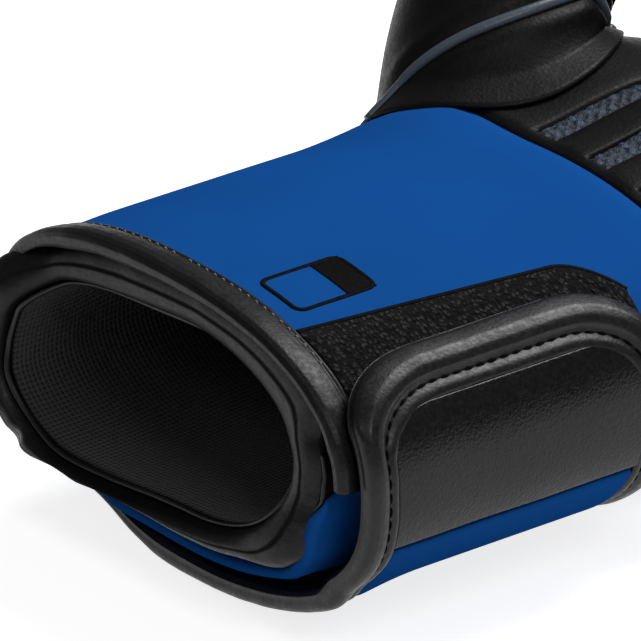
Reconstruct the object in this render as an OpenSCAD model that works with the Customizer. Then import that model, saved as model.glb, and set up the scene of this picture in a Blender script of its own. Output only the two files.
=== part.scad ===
// Left-hand boxing glove lying on its padded back with the palm up.
// All sizes in millimetres. The cuff runs along X, the thumb is on the +Y side, the palm faces +Z.
// Every layer is a patch of one swept mitten with an outer surface, a hand cavity and depths between.

/* [Cuff] */
// length of the cuff on the palm side, from the mouth to the hand seam
cuff_len = 106; // [90:1:125]
// width of the cuff over its leather
cuff_w = 126; // [112:1:140]
// height of the cuff over its leather
cuff_h = 66; // [58:1:76]
// width of the wrist opening
mouth_w = 102; // [92:1:104]
// height of the wrist opening
mouth_h = 47; // [40:1:50]
// how far the opening sits towards the thumb side
mouth_shift = 4; // [2:0.5:5]
// depth of the lapped edge under the palm flap
lap_t = 6; // [5:0.25:7]
// how far the cuff bottom stands above the floor
cuff_lift = 11; // [9:0.5:14]
// thickness of the turned lip along the lower rim
lip_t = 4; // [3:0.25:4.5]
// how far the hand seam falls back on the thumb side
seam_dip = 20; // [10:1:28]

/* [Hand] */
// width over the knuckles
hand_w = 142; // [130:1:156]
// distance from the mouth to the start of the finger bend
bend_start = 205; // [196:1:216]
// radius of the middle line through the finger bend
bend_r = 26; // [25:0.5:30]
// angle that the finger part is bent back through
bend_angle = 176; // [160:1:180]
// straight length of the finger part after the bend
finger_len = 22; // [16:1:26]
// thickness from the middle line to the outside over the finger part
finger_t = 34; // [30:1:38]
// width of the hand pocket
pocket_w = 100; // [90:1:106]
// padding between the palm leather and the pocket
palm_t = 7; // [6:0.5:9]
// height of the pocket under its middle line
pocket_dn = 11; // [9:0.5:13]

// height of the mound at the base of the thumb
mound_h = 3.5; // [2:0.5:5]

/* [Thumb] */
// thickness of the thumb
thumb_d = 44; // [40:1:46]
// reach of the thumb tip along the glove
thumb_tip_x = 203; // [194:1:208]
// how far the thumb bulges out past the knuckle width
thumb_out = 18; // [15:1:24]
// height of the thumb tip above the cuff middle
thumb_tip_z = 53; // [46:1:58]
// padding of the thumb
thumb_pad_t = 7; // [5:0.5:8]

/* [Leather and lining] */
// thickness of the leather
leather_t = 1.5; // [1.2:0.1:1.8]
// thickness of the lining fabric
lining_t = 1.1; // [0.8:0.1:1.4]
// clearance between neighbouring layers
fit = 0.3; // [0.2:0.05:0.4]
// width of the leather binding round the mouth
binding_w = 6.7; // [5:0.1:8]

/* [Palm vents] */
// number of vent slots
vent_count = 3; // [2:1:3]
// width of a vent slot
vent_w = 7; // [5:0.5:8]
// length of the vent slots
vent_len = 44; // [30:1:50]
// distance between vent slots
vent_pitch = 18.5; // [14:0.5:19]

/* [Strap] */
// front edge of the strap, from the mouth
strap_front = 1; // [0:0.5:4]
// width of the strap along the cuff
strap_w = 83; // [74:1:86]
// thickness of the strap over its layers
strap_t = 4.6; // [4:0.2:5.2]
// width of the bound strap edges
strap_binding_w = 8; // [6.5:0.5:9]
// corner length of the strap end
strap_corner = 20; // [12:1:22]
// how far the loose front edge hangs away from the cuff
strap_sag = 2.4; // [0:0.2:2.6]
// thickness of each half of the hook and loop closure
pile_t = 1.2; // [1:0.1:1.4]

/* [Hidden] */

cuff_z = cuff_lift + cuff_h / 2;
hand_rise = 5;
knuckle_s = bend_start - 15;
s_end = bend_start + bend_r * bend_angle * PI / 180 + finger_len;
s_pocket = s_end - 24;
tip_len = 26;
fold_up = bend_r - 6;
side_near = 12;
side_far = 168;
lap_end = 12;
cuff_far = 190;
anchor_from = 226;
swing_t = 246;
peel_t = 325;
strap_tip = 399;
strap_end = strap_front + strap_w;
strap_in = pile_t + 2 * fit;
facing_tail = 12;
pad_front = facing_tail + fit;
vent_from = cuff_len + 6;

function mix(a, b, k) = a + (b - a) * k;
function clamp(v) = max(0, min(1, v));
function ease(a, b, v) = let (k = clamp((v - a) / (b - a))) k * k * (3 - 2 * k);
function bow(v, n) = sign(v) * pow(abs(v), 2 / n);
function section_n(s) = mix(2.4, 2.1, ease(cuff_len, knuckle_s, s));
function unit(v) = v / norm(v);
function steps(a, b, n) = [for (i = [0 : n]) mix(a, b, i / n)];
function signed(t) = t > 180 ? t - 360 : t;

// middle line of the mitten: position along X, height, and bend angle
function spine(s) =
  let (
    bend = max(0, min(bend_angle, (s - bend_start) / bend_r * 180 / PI)),
    past = max(0, s - s_end + finger_len),
    rise = cuff_z + hand_rise * ease(cuff_len, bend_start, s)
  )
  [
    min(s, bend_start) + bend_r * sin(bend) + past * cos(bend_angle),
    rise + bend_r * (1 - cos(bend)) + past * sin(bend_angle),
    bend
  ];

function along(s, side, up) =
  let (q = spine(s)) [q[0] - up * sin(q[2]), side, q[1] + up * cos(q[2])];

// heights of the outer surface above and below the middle line, and its half width
function palm_up(s) =
  let (hand = cuff_h / 2 + 3 * ease(cuff_len, cuff_len + 34, s))
  mix(hand, fold_up, ease(cuff_len + 34, bend_start - 6, s));

function back_dn(s) =
  let (
    floor_dn = cuff_z + hand_rise * ease(cuff_len, bend_start, s) + 2.4,
    hand = mix(cuff_h / 2, floor_dn, ease(cuff_len - 12, cuff_len + 46, s))
  )
  mix(hand, finger_t, ease(bend_start - 10, s_end - 24, s));

function half_w(s) =
  mix(cuff_w / 2, hand_w / 2, ease(cuff_len - 14, knuckle_s, s)) - 15 * ease(knuckle_s + 20, s_end, s);

function rise_fall(a, b, c, d, t) = ease(a, b, t) * (1 - ease(c, d, t));
function mound(t, s) =
  mound_h
  * rise_fall(92, 116, 126, 160, t)
  * rise_fall(cuff_len - 32, cuff_len - 4, cuff_len + 40, bend_start, s);

function outer(t, s) =
  let (
    q = clamp((s - s_end + tip_len) / tip_len),
    close = sqrt(1 - 0.996 * q * q),
    n = section_n(s),
    side = -half_w(s) * bow(cos(t), n) * (1 - 0.3 * q * q),
    up = (sin(t) > 0 ? palm_up(s) : back_dn(s)) * bow(sin(t), n) * close,
    p = along(s, side, up + mound(t, s))
  )
  [p[0], p[1], max(p[2], 0)];

// the hand cavity, from the mouth to the finger ends
function cavity(t, s) =
  let (
    k = (s_pocket - bend_start) / (s_end - bend_start),
    c = s < bend_start ? s : bend_start + (s - bend_start) * k,
    hand = ease(cuff_len - 26, cuff_len + 30, c),
    q = clamp((c - s_pocket + 16) / 16),
    close = sqrt(1 - 0.99 * q * q),
    half = mix(mouth_w, pocket_w, hand) / 2 - 10 * ease(bend_start, s_pocket, c),
    fold = 4 * ease(bend_start - 30, bend_start + 6, c),
    up = mix(mouth_h / 2, palm_up(c) - palm_t - fold, hand),
    dn = mix(mouth_h / 2, pocket_dn, hand),
    n = section_n(s),
    side = -half * bow(cos(t), n) * (1 - 0.3 * q * q) + mix(mouth_shift, 3, hand)
  )
  along(c, side, (sin(t) > 0 ? up : dn) * bow(sin(t), n) * close);

// points a depth d inside the outer surface, e outside the cavity, or a share k of the way in
function shell_at(t, s, d) = let (p = outer(t, s), c = cavity(t, s)) p + unit(c - p) * d;
function pocket_at(t, s, e) = let (p = outer(t, s), c = cavity(t, s)) c + unit(p - c) * e;
function share_at(t, s, k) = mix(outer(t, s), cavity(t, s), k);

// the hand seam on the cuff, and the inset of the lapped edge on the near side
function seam(t) =
  cuff_len - seam_dip * rise_fall(112, 150, 200, 250, t) - 4 * rise_fall(230, 280, 300, 350, t);
function inset(t) = lap_t * ease(-44, -16, signed(t));
function hang(t, s) =
  strap_sag
  * (1 - ease(strap_front, strap_front + 26, s))
  * rise_fall(swing_t, swing_t + 34, peel_t - 14, peel_t - 1, t);
function strap_at(t, s, o) = shell_at(t, s, -strap_in - o - hang(t, s));

// the lower rim droops with the strap and is turned into a thick lip
function lip(t) = rise_fall(240, 262, 345, 362, t);
function tuck(t) = ease(226, 240, t);
function droop(t, s) = inset(t) - 0.85 * hang(t, s);
function lip_d(t) = max(leather_t, lip_t * lip(t) - 0.85 * hang(t, strap_front)) + inset(t);
function facing_d(t) =
  t > cuff_far || t < lap_end
    ? mix(2.1, lip_d(t < lap_end ? t + 360 : t) + 1.9, tuck(t < lap_end ? t + 360 : t))
    : mix(lap_t + leather_t + 1.9, pad_d + 0.6, ease(16, 38, t));

// front of the padded roll, and the seam where the lining meets it
function nose(t) = -2 + 3.4 * sin(t);
function welt_s(t) = nose(t) + 5.4;

function volume(pts, faces) =
  let (v = [for (f = faces) pts[f[0]] * cross(pts[f[1]], pts[f[2]])])
  v * [for (x = v) 1];

// closed solid between two grids of points, with cells left out where keep is false
module slab(top, under, wrap = false, pole = false, keep = function (j, i) true) {
  m = len(top);
  n = len(top[0]);
  cols = wrap ? n : n - 1;
  low = m * n;
  whole = function (j, i)
    j >= 0 && j < m - 1 && (wrap || (i >= 0 && i < cols)) && keep(j, (i + cols) % cols);
  at = function (j, i) j * n + i % n;
  ends = pole ? [mid(top[m - 1]), mid(under[m - 1])] : [];
  pts = concat([for (r = top) each r], [for (r = under) each r], ends);
  skins = [
    for (j = [0 : m - 2], i = [0 : cols - 1])
      if (whole(j, i))
        let (a = at(j, i), b = at(j, i + 1), c = at(j + 1, i + 1), d = at(j + 1, i))
        each [[a, b, c], [a, c, d], [low + a, low + c, low + b], [low + a, low + d, low + c]]
  ];
  walls = [
    for (j = [0 : m - 2], i = [0 : cols - 1])
      if (whole(j, i))
        let (a = at(j, i), b = at(j, i + 1), c = at(j + 1, i + 1), d = at(j + 1, i))
        each concat(
          whole(j - 1, i) ? [] : wall(b, a, low),
          whole(j + 1, i) || (pole && j == m - 2) ? [] : wall(d, c, low),
          whole(j, i - 1) ? [] : wall(a, d, low),
          whole(j, i + 1) ? [] : wall(c, b, low)
        )
  ];
  fans = [
    for (i = [0 : cols - 1])
      if (pole)
        each [
          [at(m - 1, i), at(m - 1, i + 1), 2 * low],
          [low + at(m - 1, i + 1), low + at(m - 1, i), 2 * low + 1]
        ]
  ];
  faces = concat(skins, walls, fans);
  flip = volume(pts, faces) > 0;
  polyhedron(pts, flip ? [for (f = faces) [f[0], f[2], f[1]]] : faces);
}

function wall(a, b, low) = [[a, b, low + b], [a, low + b, low + a]];
function mid(row) = [for (k = [0 : 2]) [for (p = row) p[k]] * [for (p = row) 1 / len(row)]];

// grid of points: rows run along the glove from s0(t) to s1(t), columns go round it
function sheet(ts, s0, s1, ns, f) = [
  for (j = [0 : ns]) [for (t = ts) f(t, mix(s0(t), s1(t), j / ns))]
];
function at_rows(ts, ss, f) = [for (s = ss) [for (t = ts) f(t, s)]];
function const(v) = function (t) v;
function depth(d) = function (t, s) shell_at(t, s, d);
function lift(e) = function (t, s) pocket_at(t, s, e);
function off_cuff(o) = function (t, s) strap_at(t, s, o);

// swept strip: a profile of [s, d] pairs carried round the cuff at the angles ts
function band(ts, profile, f) = [for (t = ts) [for (p = profile) f(t, p[0], p[1])]];

cuff_palm_ts = steps(2, cuff_far, 22);
cuff_back_ts = steps(cuff_far + 0.6, 360 + lap_end, 30);
mouth_ts = steps(0, 360 - 10, 35);
pad_d = leather_t + fit;
pad_e = lining_t + fit;

module cuff_shell_palm() {
  color("royalblue")
    slab(
      sheet(cuff_palm_ts, const(0), function (t) seam(t), 8, depth(0)),
      sheet(cuff_palm_ts, const(0), function (t) seam(t), 8, depth(leather_t))
    );
}

module cuff_shell_back() {
  front = function (t) mix(2.2 * (1 - ease(242, 252, t)), -3.4, lip(t));
  ss = function (t) concat([front(t), front(t) + 1, 3.6, 9], steps(20, seam(t), 6));
  round_off = [1.1, 0, 0, 0];
  trim = function (j) j < len(round_off) ? round_off[j] : 0;
  under = function (t, s) mix(lip_d(t), droop(t, s) + leather_t, ease(2, 9, s));
  rows = function (sign, f)
    [for (j = [0 : 10]) [for (t = cuff_back_ts)
      shell_at(t, ss(t)[j], f(t, ss(t)[j]) + sign * trim(j) * lip(t))]];
  color("royalblue") slab(rows(1, function (t, s) droop(t, s)), rows(-1, under));
}

module cuff_pad_palm() {
  ts = concat(steps(3, 38, 5), steps(50, cuff_far - 1, 10));
  under = function (t, s)
    mix(shell_at(t, s, lap_t - fit), pocket_at(t, s, pad_e + 0.8), ease(16, 38, t));
  color("dimgray")
    slab(
      sheet(ts, const(pad_front), function (t) seam(t) - 1, 6, depth(pad_d + 0.3)),
      sheet(ts, const(pad_front), function (t) seam(t) - 1, 6, under)
    );
}

module cuff_pad_back() {
  ts = concat(steps(cuff_far + 1, 310, 8), steps(318, 360 + lap_end - 1, 7));
  top = function (t, s) shell_at(t, s, droop(t, s) + pad_d + 0.3);
  color("dimgray")
    slab(
      sheet(ts, const(pad_front), function (t) seam(t) - 1, 6, top),
      sheet(ts, const(pad_front), function (t) seam(t) - 1, 6, lift(pad_e + 0.8))
    );
}

// turned leather edge round the mouth end of a cuff panel
module edge_binding(ts, width, f) {
  over = [[width, -1.2], [-1.3, -1.2], [-1.3, leather_t]];
  inside = [[width, -0.15], [-0.2, -0.15], [-0.2, leather_t]];
  slab(band(ts, over, f), band(ts, inside, f));
}

module cuff_binding() {
  on_palm = function (t, s, d) shell_at(t, s, d);
  color("black") edge_binding(steps(2, cuff_far, 26), binding_w, on_palm);
}

// thin edge strip between the lip and the facing
module back_binding() {
  ss = [-4.4, -3.6, -1, 1.6];
  thin = [0.35, 0, 0, 0];
  rows = function (sign, free, d) [
    for (j = [0 : 3]) [
      for (t = cuff_back_ts) shell_at(t, ss[j], mix(free, lip_d(t) + d, tuck(t)) + sign * thin[j])
    ]
  ];
  color("black") slab(rows(1, -0.6, 0.15), rows(-1, 1.35, 1.2));
}

// padded roll inside the mouth, standing further out along the lower rim
module mouth_facing() {
  top = function (t, s) shell_at(t, s, facing_d(t));
  under = lift(fit);
  step = [0, 1.2, 4];
  pinch = [0.42, 0.2, 0, 0];
  row_s = function (t, j) j == 3 ? facing_tail : nose(t) + step[j];
  rows = function (f, g)
    [for (j = [0 : 3]) [for (t = mouth_ts) mix(f(t, row_s(t, j)), g(t, row_s(t, j)), pinch[j])]];
  color("black")
    slab(
      rows(top, under),
      rows(under, top),
      wrap = true
    );
}

// thin corded seam between the facing and the lining
module seam_welt() {
  reach = [-0.9, 0, 0.9];
  swell = [0.15, 0.8, 0.15];
  rows = function (side)
    [for (j = [0 : 2]) [for (t = mouth_ts) pocket_at(t, welt_s(t) + reach[j], side * swell[j] - 0.7)]];
  color("darkslategray") slab(rows(1), rows(-1), wrap = true);
}

thumb_s = cuff_len + 20;
thumb_t = 136;
hole_to = vent_from + 26;
bend_rows = concat(steps(bend_start, s_end - 14, 8), [s_end - 8, s_end - 3.5, s_end - 1, s_end]);
hand_rows = concat(
  [vent_from, vent_from + 13, hole_to, vent_from + vent_len],
  steps(vent_from + vent_len + 14, bend_start - 9, 2),
  bend_rows
);
seam_gap = 1;

function gap_row(j, i, row0, row1, col0, col1) = j >= row0 && j < row1 && i >= col0 && i < col1;

// fabric pocket for the hand, open at the thumb
module hand_lining() {
  ts = steps(0, 345, 23);
  front = [pad_front, 24, cuff_len - 26];
  ss = concat(front, [cuff_len - 16, cuff_len - 6], hand_rows);
  over = function (s) lining_t * (1 - ease(pad_front, 24, s));
  first = function (e) [for (t = ts) pocket_at(t, welt_s(t) + 1.3, e - lining_t)];
  rows = function (e)
    concat([first(e)], at_rows(ts, ss, function (t, s) pocket_at(t, s, e - over(s))));
  keep = function (j, i) !gap_row(j, i, 6, 8, 8, 10);
  color("gray") slab(rows(lining_t), rows(0), wrap = true, pole = true, keep = keep);
}

// woven loop half of the closure on the near corner of the palm flap
module loop_patch() {
  ss = steps(binding_w + 1.5, strap_end + 2, 8);
  top = function (t, s) shell_at(t, s, -fit - pile_t);
  edge = function (s) mix(59, 52, (s - 8) / 74) - 14 * pow(clamp((s - strap_end + 12) / 14), 2);
  rows = function (f) [for (s = ss) [for (k = steps(0, 1, 9)) f(mix(4, edge(s), k), s)]];
  color("black") slab(rows(top), rows(depth(-fit)));
}

// stretch fabric behind the slit
module wrist_gusset() {
  ts = steps(lap_end + 1.2, 24, 4);
  bed = function (t, s) mix(shell_at(t, s, lap_t + 0.6), pocket_at(t, s, pad_e), ease(16, 38, t));
  inward = function (t, s) unit(cavity(t, s) - outer(t, s));
  color("black")
    slab(
      sheet(ts, const(pad_front), const(cuff_len - 6), 4, bed),
      sheet(ts, const(pad_front), const(cuff_len - 6), 4, function (t, s) bed(t, s) + inward(t, s) * 0.9)
    );
}

// sewn tail that holds the strap to the back of the cuff
module strap_anchor() {
  ts = steps(anchor_from, swing_t - 0.6, 5);
  color("black")
    slab(
      sheet(ts, const(strap_front + 2), const(strap_end - 2), 3, depth(-2.4)),
      sheet(ts, const(strap_front + 2), const(strap_end - 2), 3, depth(-0.15))
    );
}

module back_shell() {
  ts = concat([side_far + 0.6], steps(180, 360, 12), [360 + side_near - 0.6]);
  front = function (t) seam(t) + seam_gap;
  rows = function (f) concat(sheet(ts, front, const(vent_from - 2), 1, f), at_rows(ts, hand_rows, f));
  color("royalblue") slab(rows(depth(0)), rows(depth(leather_t)));
}

// angle on the palm where the surface reaches a given side position
function palm_angle(y) =
  let (s = vent_from + vent_len / 2)
  acos(-sign(y) * pow(abs(y) / half_w(s), section_n(s) / 2));
function vent_y(k) = 5 - k * vent_pitch;

function vent_sides(k) = [for (w = [-vent_w / 2, vent_w / 2]) palm_angle(vent_y(k) + w)];

palm_ts = concat(
  [side_near, 27, 43],
  [for (k = [vent_count - 1 : -1 : 0]) each vent_sides(k)],
  [104, 112, 120, 135, 150, side_far]
);

module palm_panel() {
  rows = function (f)
    concat([[for (t = palm_ts) f(t, seam(t) + seam_gap)]], at_rows(palm_ts, hand_rows, f));
  first = 3;
  last = first + 2 * vent_count;
  vent = function (j, i) gap_row(j, i, 1, 4, first, last) && (i - first) % 2 == 0;
  thumb = function (j, i) gap_row(j, i, 1, 3, last + 2, last + 4);
  keep = function (j, i) !vent(j, i) && !thumb(j, i);
  color("black") slab(rows(depth(0)), rows(depth(leather_t)), keep = keep);
}

// knitted mesh behind the vent slots
module palm_mesh() {
  ts = [for (i = [2 : 3 + 2 * vent_count]) palm_ts[i]];
  ss = concat([vent_from - 3], [for (k = [0 : 3]) hand_rows[k]], [vent_from + vent_len + 1.5]);
  color("slategray")
    slab(at_rows(ts, ss, depth(leather_t + 0.3)), at_rows(ts, ss, depth(leather_t + 1)));
}

module palm_pad() {
  ts = steps(15, 165, 10);
  ss = [for (k = [0 : 6]) hand_rows[k]];
  rows = function (f) concat([[for (t = ts) f(t, seam(t) + 3)]], at_rows(ts, ss, f));
  keep = function (j, i) !gap_row(j, i, 1, 3, 7, 9);
  color("dimgray") slab(rows(depth(leather_t + 1.8)), rows(lift(pad_e + 0.2)), keep = keep);
}

// firm roll in the crease that the fingers close round
module grip_bar() {
  ts = steps(30, 150, 8);
  ss = concat([bend_start - 8], [for (k = [0 : 6]) bend_rows[k]]);
  color("dimgray") slab(at_rows(ts, ss, depth(pad_d + 0.6)), at_rows(ts, ss, lift(pad_e)));
}

module foam_layer(top, under) {
  ts = steps(180, 360, 12);
  ss = [for (r = hand_rows) if (r < s_end - 2) r];
  rows = function (f) concat([[for (t = ts) f(t, seam(t) + 3)]], at_rows(ts, ss, f));
  slab(rows(top), rows(under));
}

module knuckle_foam() {
  color("dimgray") foam_layer(depth(pad_d + 0.2), function (t, s) share_at(t, s, 0.58));
}

module core_foam() {
  color("gray") foam_layer(function (t, s) share_at(t, s, 0.6), lift(pad_e + 0.2));
}

// thumb: a bent sleeve that grows out of an oval on the palm surface
thumb_root = shell_at(thumb_t, thumb_s, 0);
thumb_up = unit(outer(thumb_t, thumb_s) - cavity(thumb_t, thumb_s));
thumb_way = [
  thumb_root,
  thumb_root + [26, 8, 20],
  [thumb_tip_x - 28, hand_w / 2 + thumb_out - 3, cuff_z + thumb_tip_z + 4],
  [thumb_tip_x, hand_w / 2 + thumb_out - 13, cuff_z + thumb_tip_z]
];
thumb_ks = [0.34, 0.46, 0.58, 0.7, 0.8, 0.88, 0.94, 0.975, 0.995];

function bez(p, k) =
  pow(1 - k, 3) * p[0] + 3 * k * pow(1 - k, 2) * p[1] + 3 * k * k * (1 - k) * p[2] + pow(k, 3) * p[3];
function bez_dir(p, k) =
  unit(pow(1 - k, 2) * (p[1] - p[0]) + 2 * k * (1 - k) * (p[2] - p[1]) + k * k * (p[3] - p[2]));

thumb_angles = steps(0, 340, 17);

function thumb_oval(d, rise) = [
  for (a = thumb_angles)
    let (
      forward = (1 + cos(a)) / 2,
      low = rise * (1 - 0.7 * forward),
      least = 0.6 + 1.2 * forward,
      long = cos(a) > 0 ? 35 : 27
    )
    shell_at(thumb_t + (31 - d * 1.1) * sin(a), thumb_s + (long - d) * cos(a), -max(least, low))
];
function thumb_ring(k) =
  let (
    short = norm(thumb_way[3] - thumb_way[0]) * (1 - k),
    cap = max(0, 1 - short / (thumb_d / 2)),
    r = (thumb_d / 2 + 1 * (1 - ease(0.3, 0.9, k))) * sqrt(max(0.004, 1 - cap * cap)),
    c = bez(thumb_way, k),
    t = bez_dir(thumb_way, k),
    v = unit(cross(thumb_up, t)),
    u = cross(v, t)
  )
  [for (a = thumb_angles) c + r * (cos(a) * u + sin(a) * v)];

thumb_skin = concat(
  [thumb_oval(-4, 0.4)],
  [for (k = [0.1, 0.32, 0.65]) mix(thumb_oval(0, 22 * pow(k, 1.3)), thumb_ring(thumb_ks[0]), k)],
  [for (k = thumb_ks) thumb_ring(k)]
);
function thumb_normal(j, i) =
  let (
    n = len(thumb_angles),
    round = thumb_skin[j][(i + 1) % n] - thumb_skin[j][(i + n - 1) % n],
    out = thumb_skin[min(j + 1, len(thumb_skin) - 1)][i] - thumb_skin[j - 1][i],
    normal = unit(cross(round, out))
  )
  normal * (thumb_skin[j][i] - mid(thumb_skin[j])) < 0 ? -normal : normal;
function thumb_rings(d, first) = concat(
  first == 0 ? [thumb_oval(d - 4, 0.4)] : [],
  [for (j = [max(1, first) : len(thumb_skin) - 1])
    [for (i = [0 : len(thumb_angles) - 1]) thumb_skin[j][i] - d * thumb_normal(j, i)]]
);

module thumb_layer(d0, d1, first) {
  slab(thumb_rings(d0, first), thumb_rings(d1, first), wrap = true, pole = true);
}

module thumb_shell() {
  color("black") thumb_layer(0, leather_t, 0);
}

module thumb_foam() {
  color("dimgray") thumb_layer(pad_d + 0.8, pad_d + thumb_pad_t, 4);
}

module thumb_lining() {
  color("gray") thumb_layer(pad_d + thumb_pad_t + fit, pad_d + thumb_pad_t + fit + lining_t, 4);
}

// leather link between the thumb and the finger part
module thumb_tether() {
  hand = shell_at(180, s_end - 22, 0);
  c = bez(thumb_way, 0.86);
  away = unit(hand - c);
  tip = 1 - (norm(hand - c) - thumb_d / 2) / norm(hand - c);
  a = mix(c, hand, tip);
  long = unit(cross(away, [0, 0, 1]));
  thick = cross(long, away);
  ends = [a - away * 0.8, hand - away * 1.3];
  plate = function (h) [for (p = ends) [for (w = [-6, 6]) p + long * w + thick * h]];
  color("black") slab(plate(0.9), plate(-0.9));
}

// strap: a bound band from the back of the cuff round the near side
panel_in = pile_t + fit;
panel_out = panel_in + strap_t;
edge_deg = strap_binding_w / 1.15;
corner_deg = strap_corner / 1.15;
blue_end = 342;
band_s0 = strap_front + strap_binding_w + fit;
band_s1 = strap_end - strap_binding_w - fit;
span_ts = steps(swing_t, peel_t - 0.4, 14);
tab_start = peel_t + 0.4;

module span_band() {
  color("royalblue")
    slab(
      sheet(span_ts, const(band_s0), const(band_s1), 4, off_cuff(panel_out)),
      sheet(span_ts, const(band_s0), const(band_s1), 4, off_cuff(panel_in))
    );
}

module span_edge(s0, s1) {
  round_off = [0.9, 0.15, 0.15, 0.9];
  ss = [s0, s0 + 1.5, s1 - 1.5, s1];
  slab(
    [for (i = [0 : 3]) [for (t = span_ts) strap_at(t, ss[i], panel_out - round_off[i] + 0.3)]],
    [for (i = [0 : 3]) [for (t = span_ts) strap_at(t, ss[i], 0.2 + round_off[i])]]
  );
}

module span_binding_front() {
  color("black") span_edge(strap_front, strap_front + strap_binding_w);
}

module span_binding_rear() {
  color("black") span_edge(strap_end - strap_binding_w, strap_end);
}

module span_pile() {
  ts = [for (i = [2 : 13]) span_ts[i]];
  color("black")
    slab(
      sheet(ts, const(band_s0), const(band_s1), 4, off_cuff(pile_t)),
      sheet(ts, const(band_s0), const(band_s1), 4, off_cuff(0))
    );
}

// outline of the strap end as [angle, s] pairs, set in from the bound edge by a width in millimetres
function tab_outline(w) =
  let (
    deg = w / 1.15,
    s0 = strap_front + w,
    s1 = strap_end - w,
    cs = strap_corner - w * 0.8,
    cd = corner_deg - deg * 0.8,
    tip = strap_tip - deg,
    turn = steps(0, 90, 5)
  )
  concat(
    [for (t = steps(tab_start, tip - cd, 5)) [t, s0]],
    [for (a = turn) if (a > 0) [tip - cd + cd * sin(a), s0 + cs - cs * cos(a)]],
    [for (k = [1 : 4]) [tip, mix(s0 + cs, s1 - cs, k / 5)]],
    [for (a = turn) if (a < 90) [tip - cd + cd * cos(a), s1 - cs + cs * sin(a)]],
    [for (t = steps(tip - cd, tab_start, 5)) [t, s1]]
  );

// highest angle of a tab layer at a place along the cuff
function tab_top(s, s0, s1, tip) =
  let (
    cs = max(2, strap_corner - strap_binding_w * 0.8),
    cd = cs / 1.15,
    q = clamp(1 - min(s - s0, s1 - s) / cs)
  )
  tip - cd * (1 - sqrt(1 - q * q));

module tab_layer(low, tip, o0, o1, margin = 0) {
  s0 = band_s0 + margin;
  s1 = band_s1 - margin;
  ss = concat([s0, s0 + 1, s0 + 3, s0 + 6], steps(s0 + 11, s1 - 11, 4), [s1 - 6, s1 - 3, s1 - 1, s1]);
  rows = function (o)
    [for (s = ss) [for (t = steps(low, tab_top(s, s0, s1, tip), 8)) strap_at(t, s, o)]];
  slab(rows(o1), rows(o0));
}

module tab_panel() {
  color("black")
    tab_layer(blue_end + 0.3, strap_tip - edge_deg - 0.4, panel_out - leather_t, panel_out);
}

module tab_band() {
  ts = steps(tab_start, blue_end - 0.3, 4);
  color("royalblue")
    slab(
      sheet(ts, const(band_s0), const(band_s1), 4, off_cuff(panel_out)),
      sheet(ts, const(band_s0), const(band_s1), 4, off_cuff(panel_out - leather_t))
    );
}

module tab_core() {
  color("dimgray")
    tab_layer(tab_start, strap_tip - edge_deg - 1, panel_in, panel_out - leather_t - fit, 0.4);
}

module hook_tape() {
  color("black") tab_layer(365, strap_tip - edge_deg - 2, 0, pile_t, 2);
}

module tab_binding() {
  rim = [0, 1.5, strap_binding_w - 1.5, strap_binding_w];
  top = panel_out + 0.3;
  round_off = [0.9, 0.15, 0.15, 0.9];
  color("black")
    slab(
      [for (i = [0 : 3]) [for (p = tab_outline(rim[i])) strap_at(p[0], p[1], top - round_off[i])]],
      [for (i = [0 : 3]) [for (p = tab_outline(rim[i])) strap_at(p[0], p[1], 0.2 + round_off[i])]]
    );
}

// the origin is under the middle of the glove, on the floor
x_low = -5.4;
x_high = max([for (s = bend_rows) outer(270, s)[0]]);
y_low = min([for (p = tab_outline(1.5)) strap_at(p[0], p[1], panel_out + 0.15)[1]]);
y_high = max([for (r = thumb_skin) each [for (p = r) p[1]]]);

translate([-(x_low + x_high) / 2, -(y_low + y_high) / 2, 0]) {
  cuff_shell_palm();
  cuff_shell_back();
  cuff_pad_palm();
  cuff_pad_back();
  cuff_binding();
  back_binding();
  mouth_facing();
  seam_welt();
  hand_lining();
  loop_patch();
  wrist_gusset();
  strap_anchor();
  back_shell();
  palm_panel();
  palm_mesh();
  palm_pad();
  grip_bar();
  knuckle_foam();
  core_foam();
  thumb_shell();
  thumb_foam();
  thumb_lining();
  thumb_tether();
  span_band();
  span_binding_front();
  span_binding_rear();
  span_pile();
  tab_panel();
  tab_band();
  tab_binding();
  tab_core();
  hook_tape();
}
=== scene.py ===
"""Left-hand boxing glove lying palm up: cuff, strap closure, lined mouth, vented palm and thumb."""

import itertools
import math

import bpy
import numpy as np
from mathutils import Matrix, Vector

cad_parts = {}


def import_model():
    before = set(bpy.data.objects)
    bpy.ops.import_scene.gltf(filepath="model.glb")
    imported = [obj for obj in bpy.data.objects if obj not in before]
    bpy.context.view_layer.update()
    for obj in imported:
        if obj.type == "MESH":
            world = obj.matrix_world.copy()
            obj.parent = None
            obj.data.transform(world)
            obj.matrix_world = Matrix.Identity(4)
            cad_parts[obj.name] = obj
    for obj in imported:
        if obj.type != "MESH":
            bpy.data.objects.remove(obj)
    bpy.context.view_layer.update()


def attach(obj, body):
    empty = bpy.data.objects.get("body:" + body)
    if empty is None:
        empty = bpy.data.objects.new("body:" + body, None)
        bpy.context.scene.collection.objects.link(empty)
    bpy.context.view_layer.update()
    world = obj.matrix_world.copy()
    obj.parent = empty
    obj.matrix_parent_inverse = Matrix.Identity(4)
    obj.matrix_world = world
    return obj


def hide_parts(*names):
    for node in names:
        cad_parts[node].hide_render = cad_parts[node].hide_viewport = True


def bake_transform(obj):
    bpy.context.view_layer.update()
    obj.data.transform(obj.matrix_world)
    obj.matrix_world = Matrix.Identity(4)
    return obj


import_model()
scene = bpy.context.scene
scene.view_settings.view_transform = "Standard"

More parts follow.
